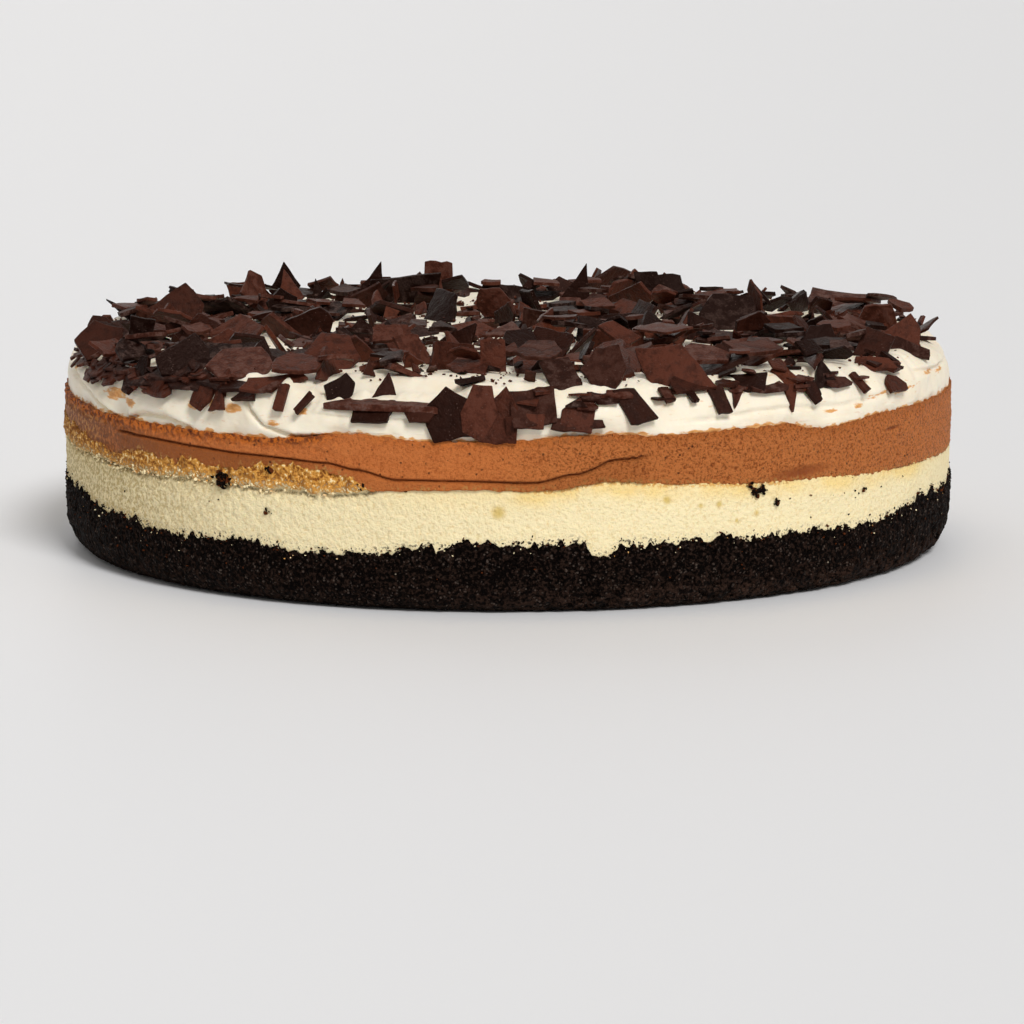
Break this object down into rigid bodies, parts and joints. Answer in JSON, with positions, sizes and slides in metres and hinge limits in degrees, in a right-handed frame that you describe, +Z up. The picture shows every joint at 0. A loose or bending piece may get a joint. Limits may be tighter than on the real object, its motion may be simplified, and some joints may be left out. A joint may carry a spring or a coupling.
{
  "type": "layered baked cheesecake",
  "caption": "Whole round baked cheesecake on a dark cookie crust, with chocolate mousse, whipped cream and broken dark chocolate shards.",
  "frame": {"origin": "centre of the flat base that the crust rests on", "axes": "+Z up along the cake's axis; -Y is the side that faces the viewer in the picture; +X to the viewer's right"},
  "size_m": [0.254, 0.2542, 0.0719],
  "materials": {
    "crust": "dry, coarse, pressed dark cookie crumb",
    "cheesecake": "fine-pored pale baked cheese, golden brown at its upper lip",
    "mousse": "soft satin milk chocolate mousse with small pits",
    "cream": "soft satin whipped cream; the shards on it are satin dark chocolate"
  },
  "bodies": {
    "root": {"cookie_crust": "crust", "cheesecake_layer": "cheesecake", "chocolate_mousse": "mousse", "whipped_cream_with_shards": "cream"}
  },
  "joints": []
}
